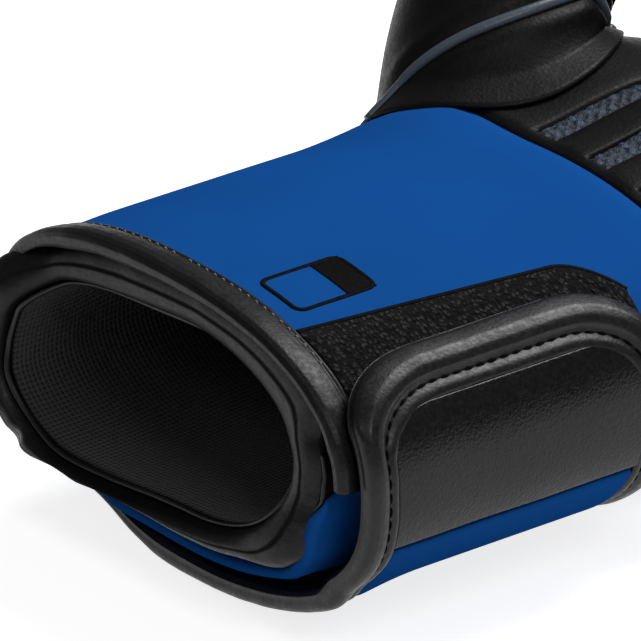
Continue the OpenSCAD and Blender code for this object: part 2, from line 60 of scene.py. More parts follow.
# sizes of the glove in millimetres: s runs along the glove from the mouth, t is the angle round it
CUFF_LEN, CUFF_W, CUFF_H = 106, 126, 66
MOUTH_W, MOUTH_H, MOUTH_SHIFT = 102, 47, 4
LAP_T, CUFF_Z, SEAM_DIP = 6, 44, 20
HAND_W, BEND_START, BEND_R, BEND_ANGLE = 142, 205, 26, 176
FINGER_LEN, FINGER_T, POCKET_W, PALM_T, POCKET_DN = 22, 34, 100, 7, 11
KNUCKLE_S = BEND_START - 15
S_END = BEND_START + BEND_R * math.radians(BEND_ANGLE) + FINGER_LEN
S_POCKET = S_END - 24
TIP_LEN, FOLD_UP, HAND_RISE, MOUND_H = 26, BEND_R - 6, 5, 3.5
LEATHER_T, LINING_T, FIT = 1.5, 1.1, 0.3
VENT_FROM, VENT_LEN, VENT_W, VENT_PITCH = 112, 44, 7, 18.5
VENT_TO = VENT_FROM + VENT_LEN
STRAP_FRONT, STRAP_END, STRAP_T, STRAP_EDGE, STRAP_CORNER = 1, 86.4, 4.6, 8, 20
STRAP_SAG, PILE_T, LIP_T = 2.4, 1.2, 4
SWING_T, PEEL_T, STRAP_TIP, BLUE_END = 246, 325, 399, 342
CUFF_FAR, LAP_END, SIDE_NEAR, SIDE_FAR = 190, 12, 12, 168
STRAP_IN = PILE_T + 2 * FIT
PANEL_IN = PILE_T + FIT
PANEL_OUT = PANEL_IN + STRAP_T
PAD_D, PAD_E, PAD_FRONT = LEATHER_T + FIT, LINING_T + FIT, 12.3
# way from the hand pocket into the thumb, as angles and as distances
THUMB_WAY_T, THUMB_WAY_S = (120, 150), (112, 138)
# millimetres round the cuff for one degree, and the share of the strap's sag that the rim follows
MM_PER_DEG, RIM_SAG = 1.15, 0.85
# moves the origin from the mouth to the middle of the solids' box
SHIFT = np.array([-132.719, -14.0353, 0])


def world(points):
    """Metres in the shared frame from glove millimetres."""
    return (np.asarray(points, float) + SHIFT) / 1000


def mix(a, b, k):
    return a + (b - a) * k


def ease(a, b, v):
    k = np.clip((np.asarray(v, float) - a) / (b - a), 0, 1)
    return k * k * (3 - 2 * k)


def bow(v, n):
    return np.sign(v) * np.abs(v) ** (2 / n)


def sind(t):
    return np.sin(np.radians(t))


def cosd(t):
    return np.cos(np.radians(t))


def unit(v):
    return v / np.maximum(np.linalg.norm(v, axis=-1, keepdims=True), 1e-9)


def signed(t):
    return np.where(t > 180, t - 360, t)


def rise_fall(a, b, c, d, t):
    return ease(a, b, t) * (1 - ease(c, d, t))


def section_n(s):
    return mix(2.4, 2.1, ease(CUFF_LEN, KNUCKLE_S, s))


def along(s, side, up):
    """Point beside and above the middle line of the mitten, which bends over the knuckles."""
    bend = np.clip((s - BEND_START) / BEND_R, 0, math.radians(BEND_ANGLE))
    past = np.maximum(0, s - S_END + FINGER_LEN)
    end = math.radians(BEND_ANGLE)
    x = np.minimum(s, BEND_START) + BEND_R * np.sin(bend) + past * math.cos(end)
    rise = CUFF_Z + HAND_RISE * ease(CUFF_LEN, BEND_START, s)
    z = rise + BEND_R * (1 - np.cos(bend)) + past * math.sin(end)
    return np.stack([x - up * np.sin(bend), side + 0 * x, z + up * np.cos(bend)], -1)


def palm_up(s):
    hand = CUFF_H / 2 + 3 * ease(CUFF_LEN, CUFF_LEN + 34, s)
    return mix(hand, FOLD_UP, ease(CUFF_LEN + 34, BEND_START - 6, s))


def back_dn(s):
    floor_dn = CUFF_Z + HAND_RISE * ease(CUFF_LEN, BEND_START, s) + 2.4
    hand = mix(CUFF_H / 2, floor_dn, ease(CUFF_LEN - 12, CUFF_LEN + 46, s))
    return mix(hand, FINGER_T, ease(BEND_START - 10, S_END - 24, s))


def half_w(s):
    wide = mix(CUFF_W / 2, HAND_W / 2, ease(CUFF_LEN - 14, KNUCKLE_S, s))
    return wide - 15 * ease(KNUCKLE_S + 20, S_END, s)


def mound(t, s):
    """Swell of the cuff and palm at the base of the thumb."""
    past_cuff = rise_fall(CUFF_LEN - 32, CUFF_LEN - 4, CUFF_LEN + 40, BEND_START, s)
    return MOUND_H * rise_fall(92, 116, 126, 160, t) * past_cuff


def outer(t, s):
    """Outside of the glove."""
    t, s = np.broadcast_arrays(np.asarray(t, float), np.asarray(s, float))
    q = np.clip((s - S_END + TIP_LEN) / TIP_LEN, 0, 1)
    close = np.sqrt(1 - 0.996 * q * q)
    n = section_n(s)
    side = -half_w(s) * bow(cosd(t), n) * (1 - 0.3 * q * q)
    up = np.where(sind(t) > 0, palm_up(s), back_dn(s)) * bow(sind(t), n) * close
    p = along(s, side, up + mound(t, s))
    p[..., 2] = np.maximum(p[..., 2], 0)
    return p


def cavity(t, s):
    """Inside of the hand pocket."""
    t, s = np.broadcast_arrays(np.asarray(t, float), np.asarray(s, float))
    k = (S_POCKET - BEND_START) / (S_END - BEND_START)
    c = np.where(s < BEND_START, s, BEND_START + (s - BEND_START) * k)
    hand = ease(CUFF_LEN - 26, CUFF_LEN + 30, c)
    q = np.clip((c - S_POCKET + 16) / 16, 0, 1)
    close = np.sqrt(1 - 0.99 * q * q)
    half = mix(MOUTH_W, POCKET_W, hand) / 2 - 10 * ease(BEND_START, S_POCKET, c)
    fold = 4 * ease(BEND_START - 30, BEND_START + 6, c)
    up = mix(MOUTH_H / 2, palm_up(c) - PALM_T - fold, hand)
    dn = mix(MOUTH_H / 2, POCKET_DN, hand)
    n = section_n(s)
    side = -half * bow(cosd(t), n) * (1 - 0.3 * q * q) + mix(MOUTH_SHIFT, 3, hand)
    return along(c, side, np.where(sind(t) > 0, up, dn) * bow(sind(t), n) * close)


def shell_at(t, s, d):
    p = outer(t, s)
    return p + unit(cavity(t, s) - p) * np.asarray(d + 0 * p[..., 0])[..., None]


def out_from_shell(t, s, o):
    return shell_at(t, s, -o)


def opening(t, s):
    """Inside of the pocket as the soft lining lies; the roll is thickest near the slit."""
    c, turn, front = cavity(t, s), signed(t), 1 - ease(0, 50, s)
    slack = ease(-10, 40, c[..., 1]) * front
    near = rise_fall(-90, 5, 50, 100, turn) * front
    top = rise_fall(-10, 25, 85, 140, turn) * front
    sag = slack[..., None] * [2.0, 0, 3.2] - near[..., None] * [0, 5.0, 0] + top[..., None] * [0, 0, 4.6]
    return c - sag


def pocket_at(t, s, e):
    c = opening(t, s)
    return c + unit(outer(t, s) - c) * np.asarray(e + 0 * c[..., 0])[..., None]


def seam(t):
    dip = SEAM_DIP * rise_fall(112, 150, 200, 250, t) + 4 * rise_fall(230, 280, 300, 350, t)
    return CUFF_LEN - dip + 2.6 * rise_fall(5, 45, 86, 116, t)


def inset(t):
    return LAP_T * ease(-44, -16, signed(t))


def hang(t, s):
    loose = 1 - ease(STRAP_FRONT, STRAP_FRONT + 26, s)
    return STRAP_SAG * loose * rise_fall(SWING_T, SWING_T + 34, PEEL_T - 14, PEEL_T - 1, t)


def strap_at(t, s, o):
    """Point on the strap, which lies flat where it leaves its sewn tail."""
    flat = mix(0.4, 1, ease(SWING_T, SWING_T + 20, t))
    return shell_at(t, s, -(STRAP_IN + o) * flat - hang(t, s))


# the lower rim droops with the strap and is turned into a thick lip


def lip(t):
    return rise_fall(240, 262, 345, 362, t)


def tuck(t):
    return ease(226, 240, t)


def droop(t, s):
    """Depth of the outside of the lower panel, which lies clear of the strap at the mouth."""
    clear = 2.4 * rise_fall(252, 272, 302, 332, t) * (1 - ease(2, 16, s))
    return inset(t) - RIM_SAG * hang(t, s) + clear


def lip_d(t):
    """Depth of the inside of the lower rim."""
    thin = LEATHER_T + RIM_SAG * hang(t, STRAP_FRONT)
    return droop(t, STRAP_FRONT) + np.maximum(thin, LIP_T * lip(t))


def facing_d(t):
    """Depth of the outside wall of the padded roll."""
    after = np.where(t < LAP_END, t + 360, t)
    back = mix(2.1, lip_d(after) + 1.9, tuck(after))
    palm_side = mix(LAP_T + LEATHER_T + 1.9, PAD_D + 0.6, ease(16, 38, t))
    return np.where((t > CUFF_FAR) | (t < LAP_END), back, palm_side)


def nose(t):
    return -2 + 3.4 * sind(t)


def palm_angle(y, s):
    """Angle at which the palm side is a given way across the glove."""
    return np.degrees(np.arccos(-np.sign(y) * (np.abs(y) / half_w(s)) ** (section_n(s) / 2)))


def cell_value(cell, seed):
    """Repeatable value from -1 to 1 for each whole-number cell."""
    x, y, z = (cell[..., k] for k in range(3))
    h = (x * 374761393 + y * 668265263 + z * 1440662683 + seed * 97531) & 0xFFFFFFFF
    h = ((h ^ (h >> 13)) * 1274126177) & 0xFFFFFFFF
    return ((h ^ (h >> 16)) & 0xFFFF) / 32767.5 - 1


def lumps(points, size, seed=0):
    """Smooth noise from -1 to 1 at each point, with lumps of a given size in millimetres."""
    at = np.asarray(points) / size
    cell = np.floor(at).astype(np.int64)
    f = at - cell
    f = f * f * (3 - 2 * f)
    total = np.zeros(at.shape[:-1])
    for corner in itertools.product((0, 1), repeat=3):
        share = np.prod(np.where(np.array(corner) == 1, f, 1 - f), axis=-1)
        total += share * cell_value(cell + np.array(corner), seed)
    return total


def grid_normals(p, wrap=False):
    """Unit normals of a grid of points."""
    du = np.roll(p, -1, 1) - np.roll(p, 1, 1) if wrap else np.gradient(p, axis=1)
    return unit(np.cross(du, np.gradient(p, axis=0)))


def outward(p):
    """Unit normals of a grid of closed rings, away from the middle of each ring."""
    normal = grid_normals(p, True)
    side = (normal * (p - p.mean(1, keepdims=True))).sum(-1)
    return normal * np.sign(side)[..., None]


def make(name, verts, faces, uvs, material):
    mesh = bpy.data.meshes.new(name)
    mesh.from_pydata(world(verts).tolist(), [], faces)
    layer = mesh.uv_layers.new(name="flat")
    index = np.zeros(len(mesh.loops), np.int32)
    mesh.loops.foreach_get("vertex_index", index)
    layer.data.foreach_set("uv", np.asarray(uvs, np.float32)[index].ravel())
    mesh.polygons.foreach_set("use_smooth", [True] * len(mesh.polygons))
    mesh.materials.append(material)
    mesh.update()
    obj = bpy.data.objects.new(name, mesh)
    scene.collection.objects.link(obj)
    return obj


def inside_out(verts, quads):
    a, b, c, d = (verts[quads[:, k]] for k in range(4))
    return (a * (np.cross(b, c) + np.cross(c, d))).sum() < 0


def spans(p):
    """Running lengths across and along a grid, in millimetres."""
    across = np.zeros(p.shape[:2])
    across[:, 1:] = np.cumsum(np.linalg.norm(np.diff(p, axis=1), axis=-1), 1)
    across -= across[:, p.shape[1] // 2][:, None]
    down = np.zeros(p.shape[:2])
    down[1:] = np.cumsum(np.linalg.norm(np.diff(p, axis=0), axis=-1), 0)
    return np.stack([across, down], -1)


def slab(name, top, under, material, wrap=False, pole=False, keep=None):
    """Closed solid between two grids of points, with the cells left out where keep is false."""
    m, n = top.shape[:2]
    cols = n if wrap else n - 1
    low = m * n
    whole = np.ones((m - 1, cols), bool) if keep is None else keep
    j, i = np.meshgrid(np.arange(m - 1), np.arange(cols), indexing="ij")
    a, b = j * n + i, j * n + (i + 1) % n
    d, c = a + n, b + n
    ringed = np.pad(whole, 1)
    if wrap:
        ringed[:, 0], ringed[:, -1] = ringed[:, -2], ringed[:, 1]
    if pole:
        ringed[-1] = True

    def rim(dj, di):
        return whole & ~ringed[1 + dj : m + dj, 1 + di : cols + 1 + di]

    corners = [
        (whole, a, b, c, d),
        (whole, low + a, low + d, low + c, low + b),
        (rim(-1, 0), b, a, low + a, low + b),
        (rim(1, 0), d, c, low + c, low + d),
        (rim(0, -1), a, d, low + d, low + a),
        (rim(0, 1), c, b, low + b, low + c),
    ]
    quads = np.concatenate([np.stack(ring, -1)[cells] for cells, *ring in corners])
    verts = np.concatenate([top.reshape(-1, 3), under.reshape(-1, 3)])
    uvs = np.concatenate([spans(top).reshape(-1, 2), spans(under).reshape(-1, 2)]) / 10
    used, packed = np.unique(quads, return_inverse=True)
    flip = inside_out(verts, quads)
    faces = packed.reshape(-1, 4).tolist()
    verts, uvs = verts[used], uvs[used]
    if pole:
        first = len(verts)
        ends = [top[-1].mean(0), under[-1].mean(0)]
        place = {int(v): k for k, v in enumerate(used)}
        verts, uvs = np.concatenate([verts, ends]), np.concatenate([uvs, uvs[[0, 0]]])
        for x in range(cols):
            p, q = (m - 1) * n + x, (m - 1) * n + (x + 1) % n
            faces.append([place[p], place[q], first])
            faces.append([place[low + q], place[low + p], first + 1])
    if flip:
        faces = [f[::-1] for f in faces]
    return make(name, verts, faces, uvs, material)


def sweep_parts(path, normals, half_wide, half_high, closed=False, sides=10):
    """Vertices, faces and flat places of a rounded strip that follows a path on a surface."""
    n = len(path)
    way = np.roll(path, -1, 0) - np.roll(path, 1, 0) if closed else np.gradient(path, axis=0)
    side = unit(np.cross(unit(way), normals))
    a = np.linspace(0, 2 * math.pi, sides, endpoint=False)
    wide = np.broadcast_to(np.asarray(half_wide, float), (n,))[:, None] * np.cos(a)
    high = np.broadcast_to(np.asarray(half_high, float), (n,))[:, None] * np.sin(a)
    verts = path[:, None] + side[:, None] * wide[..., None] + normals[:, None] * high[..., None]
    verts = verts.reshape(-1, 3)
    j, i = np.meshgrid(np.arange(n if closed else n - 1), np.arange(sides), indexing="ij")
    k, h = (j + 1) % n, (i + 1) % sides
    rings = (j * sides + i, j * sides + h, k * sides + h, k * sides + i)
    quads = np.stack(rings, -1).reshape(-1, 4)
    flip = inside_out(verts, quads)
    faces = quads.tolist()
    if not closed:
        faces += [list(range(sides))[::-1], [(n - 1) * sides + x for x in range(sides)]]
    if flip:
        faces = [f[::-1] for f in faces]
    length = np.concatenate([[0], np.cumsum(np.linalg.norm(np.diff(path, axis=0), axis=1))])
    flat = np.stack(np.broadcast_arrays(length[:, None], a * 2), -1)
    return verts, faces, flat.reshape(-1, 2) / 10


def join(name, parts, material):
    """One piece from several sets of vertices and faces."""
    verts, faces, uvs, first = [], [], [], 0
    for v, f, uv in parts:
        verts.append(v)
        uvs.append(uv)
        faces += [[i + first for i in face] for face in f]
        first += len(v)
    return make(name, np.concatenate(verts), faces, np.concatenate(uvs), material)


def sweep(name, path, normals, half_wide, half_high, material, closed=False, sides=10):
    return join(name, [sweep_parts(path, normals, half_wide, half_high, closed, sides)], material)


def even(path, step):
    """The same path with points a given distance apart."""
    length = np.concatenate([[0], np.cumsum(np.linalg.norm(np.diff(path[:, :3], axis=0), axis=1))])
    at = np.linspace(0, length[-1], max(3, int(round(length[-1] / step)) + 1))
    return np.stack([np.interp(at, length, path[:, k]) for k in range(path.shape[1])], -1)


def stitches(name, path, normals, length, gap, width, height, material, drop=0.0):
    """A row of short threads lying along a path, with a share of them hidden."""
    dense = even(np.concatenate([path, normals], 1), 0.2)
    parts, run, step = [], int(length / 0.2), int((length + gap) / 0.2)
    for first in range(0, len(dense) - run, step):
        piece = dense[first : first + run + 1]
        if lumps(piece[:1, :3], 0.7, 5)[0] < 2 * drop - 1:
            continue
        bulge = np.sin(np.linspace(0.15, math.pi - 0.15, len(piece)))
        p = piece[:, :3] + piece[:, 3:] * (height * bulge - 0.1)[:, None]
        thin = width * (0.5 + 0.5 * bulge)
        parts.append(sweep_parts(p[::2], unit(piece[::2, 3:]), thin[::2], thin[::2] * 0.8, sides=6))
    return join(name, parts, material)


def surface_path(at, ts, ss, lift=0.0):
    """Points and outward normals where a path of angles and distances lies on a surface."""
    p = at(ts, ss, lift)
    n = at(ts, ss, lift + 0.5) - p
    dt = at(ts + 0.2, ss, lift) - at(ts - 0.2, ss, lift)
    ds = at(ts, ss + 0.2, lift) - at(ts, ss - 0.2, lift)
    square = unit(np.cross(dt, ds))
    return p, square * np.sign((square * n).sum(-1))[:, None]


def rounded(top_d, low_d, x):
    """Two depths brought together in a half circle, x in from the front edge."""
    half, middle = (low_d - top_d) / 2, (low_d + top_d) / 2
    off = np.where(x < half, np.sqrt(np.maximum(half * half - (half - x) ** 2, 0)), half)
    return middle - off, middle + off


# materials


def material(name, color, rough, build=None, specular=0.5, sheen=0.0):
    made = bpy.data.materials.new(name)
    made.use_nodes = True
    shader = made.node_tree.nodes["Principled BSDF"]
    shader.inputs["Base Color"].default_value = (*color, 1)
    shader.inputs["Roughness"].default_value = rough
    shader.inputs["Specular IOR Level"].default_value = specular
    shader.inputs["Sheen Weight"].default_value = sheen
    if build:
        build(made.node_tree, shader)
    return made


def node(tree, kind, **values):
    made = tree.nodes.new(kind)
    for key, value in values.items():
        if key in made.inputs:
            made.inputs[key].default_value = value
        else:
            setattr(made, key, value)
    return made


def ramp(tree, fac, low, high, at=(0.3, 0.7)):
    made = tree.nodes.new("ShaderNodeValToRGB")
    for element, place, color in zip(made.color_ramp.elements, at, (low, high)):
        element.position = place
        element.color = (*color, 1)
    tree.links.new(fac, made.inputs["Fac"])
    return made.outputs["Color"]


def spread(tree, fac, low, high, first=0.0, last=1.0):
    made = node(tree, "ShaderNodeMapRange")
    for key, value in zip(("From Min", "From Max", "To Min", "To Max"), (first, last, low, high)):
        made.inputs[key].default_value = value
    tree.links.new(fac, made.inputs["Value"])
    return made.outputs["Result"]


def bump(tree, shader, height, strength, distance, before=None):
    made = node(tree, "ShaderNodeBump", Strength=strength, Distance=distance)
    tree.links.new(height, made.inputs["Height"])
    if before is not None:
        tree.links.new(before, made.inputs["Normal"])
    tree.links.new(made.outputs["Normal"], shader.inputs["Normal"])
    return made.outputs["Normal"]


def shades(color, share):
    """A darker and a lighter version of a colour."""
    return tuple(c * (1 - share) for c in color), tuple(c * (1 + share) for c in color)


def leather(color, drift_share, rough, grain, cell, crease):
    """Colour drift, pebbled grain of a given cell size in millimetres, and soft long creases."""

    def build(tree, shader):
        place = tree.nodes.new("ShaderNodeTexCoord").outputs["Object"]
        drift = node(tree, "ShaderNodeTexNoise", Scale=28.0, Detail=3.0)
        pores = node(tree, "ShaderNodeTexVoronoi", Scale=1000 / cell, feature="SMOOTH_F1")
        pores.inputs["Smoothness"].default_value = 0.35
        fine = node(tree, "ShaderNodeTexNoise", Scale=900.0, Detail=3.0)
        folds = node(tree, "ShaderNodeTexNoise", Scale=60.0, Detail=2.0, Distortion=0.8)
        for texture in (drift, pores, fine, folds):
            tree.links.new(place, texture.inputs["Vector"])
        low, high = shades(color, drift_share)
        tree.links.new(ramp(tree, drift.outputs["Fac"], low, high), shader.inputs["Base Color"])
        gloss = spread(tree, fine.outputs["Fac"], rough - 0.08, rough + 0.1, 0.3, 0.7)
        tree.links.new(gloss, shader.inputs["Roughness"])
        soft = bump(tree, shader, folds.outputs["Fac"], crease, 0.0008)
        cells = bump(tree, shader, pores.outputs["Distance"], grain, 0.00022, soft)
        bump(tree, shader, fine.outputs["Fac"], grain * 0.5, 0.00012, cells)

    return build


def hide(name, color, rough, grain, cell, crease, specular, drift_share=0.2):
    return material(
        name, color, rough, leather(color, drift_share, rough, grain, cell, crease), specular
    )


def knit(low, high, pitch, strength):
    """Rows of small round holes in a knitted cloth, with a given pitch in millimetres."""

    def build(tree, shader):
        uv = tree.nodes.new("ShaderNodeTexCoord").outputs["UV"]
        scale = node(tree, "ShaderNodeMapping")
        scale.inputs["Scale"].default_value = (10 / pitch, 10 / pitch, 1)
        tree.links.new(uv, scale.inputs["Vector"])
        parts = tree.nodes.new("ShaderNodeSeparateXYZ")
        tree.links.new(scale.outputs["Vector"], parts.inputs["Vector"])

        def wave(socket):
            turn = node(tree, "ShaderNodeMath", operation="MULTIPLY")
            turn.inputs[1].default_value = math.pi
            tree.links.new(socket, turn.inputs[0])
            made = node(tree, "ShaderNodeMath", operation="COSINE")
            tree.links.new(turn.outputs[0], made.inputs[0])
            return made.outputs[0]

        rows = node(tree, "ShaderNodeMath", operation="MULTIPLY")
        tree.links.new(wave(parts.outputs["X"]), rows.inputs[0])
        tree.links.new(wave(parts.outputs["Y"]), rows.inputs[1])
        hole = node(tree, "ShaderNodeMath", operation="ABSOLUTE")
        tree.links.new(rows.outputs[0], hole.inputs[0])
        place = tree.nodes.new("ShaderNodeTexCoord").outputs["Object"]
        drift = node(tree, "ShaderNodeTexNoise", Scale=45.0, Detail=3.0)
        fuzz = node(tree, "ShaderNodeTexNoise", Scale=1800.0, Detail=2.0)
        for texture in (drift, fuzz):
            tree.links.new(place, texture.inputs["Vector"])
        color = ramp(tree, hole.outputs[0], high, low, (0.35, 0.85))
        tree.links.new(color, shader.inputs["Base Color"])
        cells = bump(tree, shader, spread(tree, hole.outputs[0], 1.0, 0.0), strength, 0.0005)
        soft = bump(tree, shader, drift.outputs["Fac"], 0.4, 0.0015, cells)
        bump(tree, shader, fuzz.outputs["Fac"], 0.3, 0.0002, soft)

    return build


def loops(low, high, size, strength, at=(0.25, 0.62)):
    """Rows of small loops of a woven pile."""

    def build(tree, shader):
        coords = tree.nodes.new("ShaderNodeTexCoord")
        scale = node(tree, "ShaderNodeMapping")
        scale.inputs["Scale"].default_value = (10 / size, 12.5 / size, 1)
        tree.links.new(coords.outputs["UV"], scale.inputs["Vector"])
        curl = node(tree, "ShaderNodeTexVoronoi", Scale=1.0, Randomness=0.62, feature="F1")
        tree.links.new(scale.outputs["Vector"], curl.inputs["Vector"])
        hair = node(tree, "ShaderNodeTexNoise", Scale=2600 / size, Detail=4.0, Distortion=1.5)
        tree.links.new(coords.outputs["Object"], hair.inputs["Vector"])
        blend = node(tree, "ShaderNodeMath", operation="MULTIPLY")
        tree.links.new(hair.outputs["Fac"], blend.inputs[0])
        tree.links.new(spread(tree, curl.outputs["Distance"], 1.3, 0.3, 0.1, 0.65), blend.inputs[1])
        tree.links.new(ramp(tree, blend.outputs[0], low, high, at), shader.inputs["Base Color"])
        bump(tree, shader, blend.outputs[0], strength, 0.0011)

    return build


BLUE = (0.0072, 0.073, 0.288)
BLACK = (0.004, 0.004, 0.0043)
blue_leather = hide("blue_leather", BLUE, 0.5, 0.1, 0.9, 0.1, 0.0, 0.04)
black_leather = hide("black_leather", BLACK, 0.45, 0.22, 0.9, 0.3, 0.11)
smooth_black = hide("smooth_black", BLACK, 0.4, 0.16, 0.8, 0.35, 0.33)
soft_black = hide("soft_black", BLACK, 0.42, 0.16, 0.8, 0.35, 0.22)
grained_black = hide("grained_black", BLACK, 0.31, 0.32, 0.7, 0.2, 0.25)
piping_grey = hide("piping_grey", (0.06, 0.075, 0.1), 0.4, 0.15, 0.7, 0.1, 0.5)
thread_grey = hide("thread_grey", (0.2, 0.2, 0.205), 0.6, 0.2, 0.4, 0.1, 0.4)
thread_black = hide("thread_black", (0.003, 0.003, 0.003), 0.6, 0.2, 0.4, 0.1, 0.03)
lining_cloth = material(
    "lining_cloth", (0.012, 0.012, 0.012), 0.75,
    knit((0.0015, 0.0015, 0.0015), (0.04, 0.0395, 0.039), 1.25, 0.9), 0.35, sheen=0.1,
)
mesh_cloth = material(
    "mesh_cloth", (0.03, 0.05, 0.085), 0.6,
    loops((0.008, 0.014, 0.026), (0.062, 0.096, 0.165), 2.8, 0.8), 0.4,
)
pile_cloth = material(
    "pile_cloth", (0.006, 0.006, 0.0065), 0.9,
    loops((0.0004, 0.0004, 0.0004), (0.05, 0.05, 0.051), 1.5, 1.0, (0.32, 0.6)), 0.15, sheen=0.02,
)


def dress(nodes):
    """The piece stands for its nodes, which are hidden."""
    if nodes:
        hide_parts(*nodes)


def wear(piece, body, slot, *nodes, fill=None):
    """The piece moves with one body."""
    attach(piece, body)
    dress(nodes)


# cuff


def cuff_grid(t0, t1, nt, ns):
    t, k = np.meshgrid(np.linspace(t0, t1, nt), np.linspace(0, 1, ns))
    return t, seam(t) * k


def sewn(t, s):
    """Share of the way into the seam where the cuff is sewn to the hand."""
    return ease(seam(t) - 3.5, seam(t), s)


t, s = cuff_grid(2, CUFF_FAR, 170, 100)
swell = 0.35 * ease(6, 20, s) * (1 - ease(seam(t) - 14, seam(t) - 1, s)) - 1.1 * sewn(t, s)
top = shell_at(t, s, -swell)
top += grid_normals(top) * (0.16 * lumps(top, 26, 3) * ease(8, 24, s))[..., None]
under = mix(shell_at(t, s, LAP_T - FIT), pocket_at(t, s, PAD_E + 0.8), ease(16, 38, t)[..., None])
under = np.where((s < PAD_FRONT)[..., None], shell_at(t, s, LEATHER_T), under)
cuff_flap = slab("cuff_flap", top, under, blue_leather)
wear(cuff_flap, "glove", "blue_leather", "cuff_shell_palm", "cuff_pad_palm", fill=0.7)

# the lower panel ends in a thick turned lip at the mouth
ts = np.linspace(CUFF_FAR + 0.6, 360 + LAP_END, 200)
front = mix(2.2 * (1 - ease(242, 252, ts)), -3.4, lip(ts)) + 6 * ease(356, 361, ts)
rows = [front + x for x in (0.03, 0.15, 0.4, 0.8, 1.3, 1.9, 2.6, 3.6, 5, 7)]
rows += [mix(front + 9, seam(ts), k) for k in np.linspace(0, 1, 56)]
s = np.array(rows)
t = np.broadcast_to(ts, s.shape)
low_d = mix(lip_d(t), droop(t, s) + LEATHER_T, ease(2, 9, s))
top_d, low_d = rounded(droop(t, s) + 0.9 * sewn(t, s), low_d, s - front)
top = shell_at(t, s, top_d)
top += grid_normals(top) * (0.2 * lumps(top, 11, 8) * ease(6, 0, s) * lip(t))[..., None]
under = np.where((s < PAD_FRONT)[..., None], shell_at(t, s, low_d), pocket_at(t, s, PAD_E + 0.8))
cuff_under = slab("cuff_under", top, under, blue_leather)
wear(cuff_under, "glove", "blue_leather", "cuff_shell_back", "cuff_pad_back", fill=0.7)

# turned leather edge of the flap: a rounded profile of places and depths carried round the mouth
profile = [
    (6.9, -0.15), (6.5, -0.75), (5.9, -0.95), (5.4, -0.6), (4.9, -1.0), (3.0, -1.45), (1.0, -1.7),
    (-0.8, -1.6), (-2.1, -1.0), (-2.8, 0.2), (-2.7, 1.8), (-2.0, 3.0), (-0.9, 3.4), (0.2, 2.6),
    (3.0, 2.0), (9.0, 2.0),
]
profile = even(np.array(profile), 0.35)
t, s = np.meshgrid(np.linspace(2, CUFF_FAR, 300), profile[:, 0])
d = np.broadcast_to(profile[:, 1][:, None], t.shape)
slim = ease(118, 150, t)
s = np.where(s < -0.4, mix(s, -0.4 + (s + 0.4) * 0.5, slim), s)
d = np.where(d < 0, d * mix(1, 0.45, ease(174, CUFF_FAR, t)), np.where(d > 2, mix(d, 2.0, slim), d))
top = shell_at(t, s, d)
wrinkle = mix(0.12, 0.3, ease(70, 30, t))
top += grid_normals(top) * (wrinkle * (lumps(top, 9, 2) + 0.6 * lumps(top, 4, 7)))[..., None]
inner_s = np.where(d > 1.6, np.maximum(s + 0.9, 0.4), np.maximum(s + 0.25, 0.15))
under = shell_at(t, inner_s, np.where(d > 1.6, 1.65, np.clip(d + 0.55, -0.5, 1.6)))
mouth_binding = slab("mouth_binding", top, under, soft_black)
wear(mouth_binding, "glove", "black_leather", "cuff_binding")
ts = np.linspace(128, 46, 200)
path, normals = surface_path(out_from_shell, ts, np.full_like(ts, 5.4), 0.75)
binding_thread = stitches("binding_thread", path, normals, 1.4, 1.6, 0.2, 0.3, thread_grey, 0.25)
wear(binding_thread, "glove", "black_leather")

# thin edge strip between the lip and the roll
ts = np.linspace(CUFF_FAR + 0.6, 360 + LAP_END, 220)
t, s = np.meshgrid(ts, [-4.37, -4.25, -4.0, -3.6, -3.0, -2.2, -1.0, 0.2, 1.0, 1.57])
back = 3.2 * lip(t) + 4 * ease(346, 364, t)
top_d = mix(-0.6, lip_d(t) + 0.15, tuck(t))
low_d = mix(1.35, lip_d(t) + 1.2, tuck(t))
top_d, low_d = rounded(top_d, low_d, np.minimum(s + 4.4, 1.6 - s))
top = shell_at(t, s + back, top_d)
top += grid_normals(top) * (0.12 * lumps(top, 8, 4) * (1 - tuck(t)))[..., None]
back_edge = slab("back_edge", top, shell_at(t, s + back, low_d), soft_black)
wear(back_edge, "glove", "black_leather", "back_binding")

# padded roll inside the mouth: outside wall, rounded nose, inside wall; along the far and the lower
# rim it stands further out and folds over the edge
ROLL_RISE = 135, 162
WELT_IN = 5.4


def roll_front(t):
    """Front of the padded roll, which stands out along the far and the lower rim."""
    out = mix(-7, -9.2, ease(165, 195, t)) + 1.6 * ease(232, 256, t)
    return mix(nose(t), out, rise_fall(*ROLL_RISE, 318, 357, t))


def welt_s(t):
    return roll_front(t) + WELT_IN


ts = np.linspace(0, 360, 320, endpoint=False)
cover = rise_fall(*ROLL_RISE, 342, 358, ts)
front = roll_front(ts)
edge_out = mix(-1.7, lip_d(ts) + 2.0 - 4.8 * ease(298, 336, ts), ease(226, 242, ts))
turn = np.linspace(0, math.pi, 21)
walls = [11.8, 9, 6.5]
row_s = [np.full_like(ts, x) for x in walls] + [front + 6, front + 4.8]
row_s += [front + 4.4 * (1 - math.sin(a)) for a in turn]
row_s += [np.maximum(front + 5.2, x) for x in (-2.5, 2.0)] + [np.full_like(ts, x) for x in walls[::-1]]
share = np.concatenate([[0] * 5, (1 - np.cos(turn)) / 2, [1] * 5])[:, None]
folded = np.concatenate([[0] * 5, np.ones_like(turn), [0] * 5])[:, None]
s, t = np.array(row_s), np.broadcast_to(ts, (len(row_s), len(ts)))
wall_d = mix(facing_d(t) + 0.1, edge_out, cover * folded)
roll = mix(shell_at(t, s, wall_d), pocket_at(t, s, FIT), share[..., None])
normal = grid_normals(roll, True)
normal *= np.sign((normal * (roll - roll.mean(0))).sum(-1).mean())
bulge = np.sin(share * math.pi)
crumple = 0.3 * lumps(roll, 13, 1) + 0.14 * lumps(roll, 5, 4) - 0.3
roll += normal * (crumple * bulge)[..., None]
